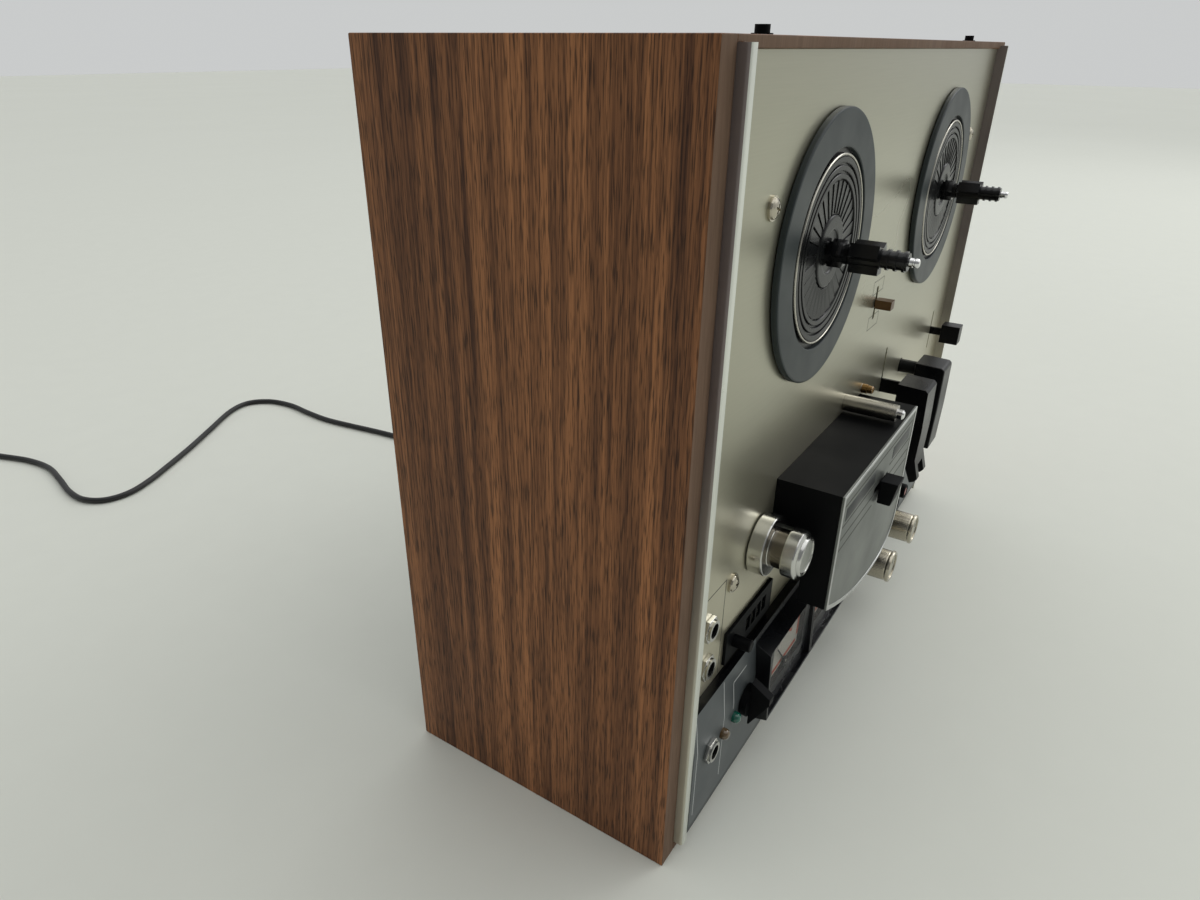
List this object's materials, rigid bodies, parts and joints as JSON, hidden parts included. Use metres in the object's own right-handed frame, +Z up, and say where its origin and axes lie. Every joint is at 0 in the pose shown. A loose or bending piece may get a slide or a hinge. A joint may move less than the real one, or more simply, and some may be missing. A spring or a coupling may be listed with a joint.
{
  "type": "reel-to-reel tape recorder",
  "caption": "Upright tape recorder in a walnut case: reel tables with locking spindles, head block, meters, levers, knobs and a mains cord.",
  "frame": {"origin": "centre of the cabinet's underside, on the surface that it stands on", "axes": "+X to the right seen from the front, -Y towards the front, +Z up"},
  "size_m": [0.4777, 0.7837, 0.318],
  "materials": {
    "walnut": "satin oiled walnut veneer",
    "trim_aluminium": "bright anodised",
    "deck_aluminium": "champagne brushed",
    "steel": "zinc plated",
    "black_moulding": "satin black",
    "silver_plate": "brushed",
    "head_metal": "polished",
    "dial": "printed dial",
    "clear": "clear",
    "needle_black": "painted black",
    "number_wheel": "printed numerals",
    "table_grey": "painted dark grey",
    "lock_black": "gloss",
    "bronze": "turned",
    "chrome": "polished",
    "shaft_steel": "ground",
    "roller_rubber": "matt",
    "speed_brass": "satin",
    "lever_black": "satin",
    "record_red": "gloss",
    "lamp_green": "clear green",
    "switch_metal": "plated",
    "motor_paint": "painted",
    "belt_rubber": "matt",
    "board_green": "coated",
    "back_board": "dark hardboard",
    "screw_black": "blackened",
    "cord_black": "satin"
  },
  "bodies": {
    "cabinet": {"side_board_left": "walnut", "side_board_right": "walnut", "top_board": "walnut", "bottom_board": "walnut", "side_trims": "trim_aluminium", "deck_panel": "deck_aluminium", "chassis_plate": "steel", "head_bridge": "steel", "rear_jack_panel": "steel", "control_panel": "black_moulding", "head_cover": "black_moulding", "counter_frame": "black_moulding", "meter_housing": "black_moulding", "head_face_plate": "silver_plate", "tape_heads": "head_metal", "meter_movements": "dial", "meter_windows": "clear", "shaft_bearings": "bronze", "guide_posts": "chrome", "capstan_sleeve": "chrome", "jack_sockets": "chrome", "panel_screws": "chrome", "pilot_lamps": "lamp_green", "panel_switchgear": "switch_metal", "motor": "motor_paint", "transformer": "motor_paint", "drive_belt": "belt_rubber", "circuit_board": "board_green", "back_cover": "back_board", "top_screws": "screw_black", "cord_gland": "cord_black", "cord_free": "cord_black", "cord_coil": "cord_black", "plug": "cord_black"},
    "head_switch": {"head_switch": "black_moulding"},
    "needle_left": {"needle_left": "needle_black"},
    "needle_right": {"needle_right": "needle_black"},
    "counter_wheel_1": {"counter_wheel_1": "number_wheel"},
    "counter_wheel_2": {"counter_wheel_2": "number_wheel"},
    "counter_wheel_3": {"counter_wheel_3": "number_wheel"},
    "counter_wheel_4": {"counter_wheel_4": "number_wheel"},
    "counter_reset": {"counter_reset": "black_moulding"},
    "supply_table": {"supply_reel_table": "table_grey"},
    "supply_lock": {"supply_reel_lock": "lock_black"},
    "takeup_table": {"takeup_reel_table": "table_grey"},
    "takeup_lock": {"takeup_reel_lock": "lock_black"},
    "guide_roller": {"guide_roller": "chrome"},
    "capstan": {"capstan_flywheel": "shaft_steel"},
    "pinch_arm": {"pinch_arm": "shaft_steel"},
    "pinch_roller": {"pinch_roller": "roller_rubber"},
    "speed_tab": {"speed_tab": "speed_brass"},
    "play_lever": {"play_lever": "lever_black"},
    "wind_lever": {"wind_lever": "lever_black"},
    "power_lever": {"power_lever": "lever_black"},
    "level_knob_left": {"level_knob_left": "chrome"},
    "level_knob_right": {"level_knob_right": "chrome"},
    "selector_knob": {"selector_knob": "black_moulding"},
    "record_button_left": {"record_button_left": "record_red"},
    "record_button_right": {"record_button_right": "record_red"},
    "motor_pulley": {"motor_pulley": "bronze"}
  },
  "joints": [
    {"name": "head_switch_slide", "type": "slide", "parent": "cabinet", "child": "head_switch", "axis": [1, 0, 0], "range_m": [-0.005, 0.005]},
    {"name": "needle_left_swing", "type": "hinge", "parent": "cabinet", "child": "needle_left", "pos_m": [-0.099, -0.0765, 0.0425], "axis": [0, 1, 0], "range_deg": [0, 80], "stiffness_Nm_per_rad": 0.00002},
    {"name": "needle_right_swing", "type": "hinge", "parent": "cabinet", "child": "needle_right", "pos_m": [-0.041, -0.0765, 0.0425], "axis": [0, 1, 0], "range_deg": [0, 80], "stiffness_Nm_per_rad": 0.00002},
    {"name": "counter_wheel_1_turn", "type": "hinge", "parent": "cabinet", "child": "counter_wheel_1", "pos_m": [-0.1335, -0.0613, 0.08425], "axis": [1, 0, 0], "continuous": true},
    {"name": "counter_wheel_2_turn", "type": "hinge", "parent": "cabinet", "child": "counter_wheel_2", "pos_m": [-0.1277, -0.0613, 0.08425], "axis": [1, 0, 0], "continuous": true},
    {"name": "counter_wheel_3_turn", "type": "hinge", "parent": "cabinet", "child": "counter_wheel_3", "pos_m": [-0.1219, -0.0613, 0.08425], "axis": [1, 0, 0], "continuous": true},
    {"name": "counter_wheel_4_turn", "type": "hinge", "parent": "cabinet", "child": "counter_wheel_4", "pos_m": [-0.1161, -0.0613, 0.08425], "axis": [1, 0, 0], "continuous": true},
    {"name": "counter_reset_press", "type": "slide", "parent": "cabinet", "child": "counter_reset", "axis": [0, 1, 0], "range_m": [0, 0.0025], "stiffness_N_per_m": 150, "springref_m": -0.001},
    {"name": "supply_turn", "type": "hinge", "parent": "cabinet", "child": "supply_table", "pos_m": [-0.0947, -0.0701, 0.2405], "axis": [0, 1, 0], "continuous": true},
    {"name": "supply_lock_twist", "type": "hinge", "parent": "supply_table", "child": "supply_lock", "pos_m": [-0.0947, -0.0885, 0.2405], "axis": [0, 1, 0], "range_deg": [0, 60]},
    {"name": "takeup_turn", "type": "hinge", "parent": "cabinet", "child": "takeup_table", "pos_m": [0.0947, -0.0701, 0.2405], "axis": [0, 1, 0], "continuous": true},
    {"name": "takeup_lock_twist", "type": "hinge", "parent": "takeup_table", "child": "takeup_lock", "pos_m": [0.0947, -0.0885, 0.2405], "axis": [0, 1, 0], "range_deg": [0, 60]},
    {"name": "guide_roller_turn", "type": "hinge", "parent": "cabinet", "child": "guide_roller", "pos_m": [-0.129, -0.0765, 0.124], "axis": [0, 1, 0], "continuous": true},
    {"name": "capstan_turn", "type": "hinge", "parent": "cabinet", "child": "capstan", "pos_m": [0.014, -0.0685, 0.121], "axis": [0, 1, 0], "continuous": true},
    {"name": "motor_turn", "type": "hinge", "parent": "cabinet", "child": "motor_pulley", "pos_m": [0.105, -0.0185, 0.118], "axis": [0, 1, 0], "continuous": true},
    {"name": "pinch_swing", "type": "hinge", "parent": "cabinet", "child": "pinch_arm", "pos_m": [0.031, -0.0685, 0.1], "axis": [0, 1, 0], "range_deg": [0, 12]},
    {"name": "pinch_roller_turn", "type": "hinge", "parent": "pinch_arm", "child": "pinch_roller", "pos_m": [0.01267, -0.0765, 0.10449], "axis": [0, 1, 0], "continuous": true},
    {"name": "speed_slide", "type": "slide", "parent": "cabinet", "child": "speed_tab", "axis": [0, 0, 1], "range_m": [-0.006, 0.006]},
    {"name": "play_lift", "type": "hinge", "parent": "cabinet", "child": "play_lever", "pos_m": [0.043, -0.0345, 0.139], "axis": [-1, 0, 0], "range_deg": [0, 28]},
    {"name": "wind_swing", "type": "hinge", "parent": "cabinet", "child": "wind_lever", "pos_m": [0.085, -0.0685, 0.138], "axis": [0, 1, 0], "range_deg": [-25, 25]},
    {"name": "power_swing", "type": "hinge", "parent": "cabinet", "child": "power_lever", "pos_m": [0.158, -0.0365, 0.141], "axis": [1, 0, 0], "range_deg": [-18, 18]},
    {"name": "level_left_turn", "type": "hinge", "parent": "cabinet", "child": "level_knob_left", "pos_m": [0.0165, -0.0785, 0.04], "axis": [0, 1, 0], "range_deg": [-150, 150]},
    {"name": "level_right_turn", "type": "hinge", "parent": "cabinet", "child": "level_knob_right", "pos_m": [0.0665, -0.0785, 0.04], "axis": [0, 1, 0], "range_deg": [-150, 150]},
    {"name": "selector_turn", "type": "hinge", "parent": "cabinet", "child": "selector_knob", "pos_m": [-0.1385, -0.0765, 0.0465], "axis": [0, 1, 0], "range_deg": [-30, 30]},
    {"name": "record_left_press", "type": "slide", "parent": "cabinet", "child": "record_button_left", "axis": [0, 1, 0], "range_m": [0, 0.003], "stiffness_N_per_m": 200, "springref_m": -0.001},
    {"name": "record_right_press", "type": "slide", "parent": "cabinet", "child": "record_button_right", "axis": [0, 1, 0], "range_m": [0, 0.003], "stiffness_N_per_m": 200, "springref_m": -0.001}
  ],
  "couplings": [
    {"joint": "motor_turn", "follows": "capstan_turn", "ratio": 4.1818},
    {"joint": "pinch_swing", "follows": "play_lift", "ratio": 0.42857},
    {"joint": "counter_wheel_4_turn", "follows": "takeup_turn", "ratio": 0.05},
    {"joint": "counter_wheel_3_turn", "follows": "takeup_turn", "ratio": 0.005},
    {"joint": "counter_wheel_2_turn", "follows": "takeup_turn", "ratio": 0.0005},
    {"joint": "counter_wheel_1_turn", "follows": "takeup_turn", "ratio": 0.00005}
  ]
}
